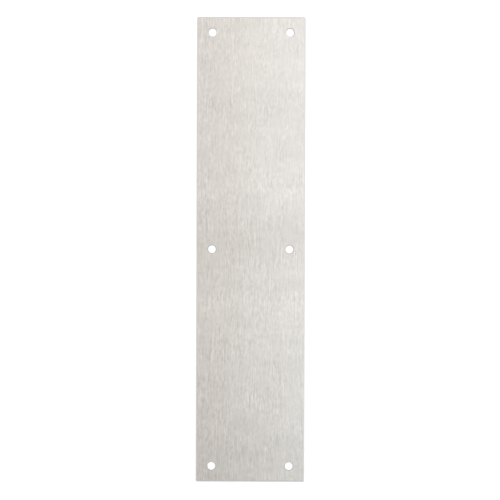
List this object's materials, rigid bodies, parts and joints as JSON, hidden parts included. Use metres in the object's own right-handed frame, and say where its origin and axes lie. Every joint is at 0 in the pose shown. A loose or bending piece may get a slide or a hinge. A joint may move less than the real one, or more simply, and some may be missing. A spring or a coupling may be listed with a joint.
{
  "type": "door finger plate",
  "caption": "Long flat push plate for the face of a door, with rounded corners, a bevelled front edge and countersunk screw holes down both sides.",
  "frame": {"origin": "centre of the back face, the face that lies against the door", "axes": "+Z out of the front face, +Y up the length of the plate as it hangs on a door, +X across its width"},
  "size_m": [0.0888, 0.381, 0.0013],
  "materials": {
    "brushed_plate": "satin stainless steel, brushed along the length, pale warm grey"
  },
  "bodies": {
    "root": {"finger_plate": "brushed_plate"}
  },
  "joints": []
}
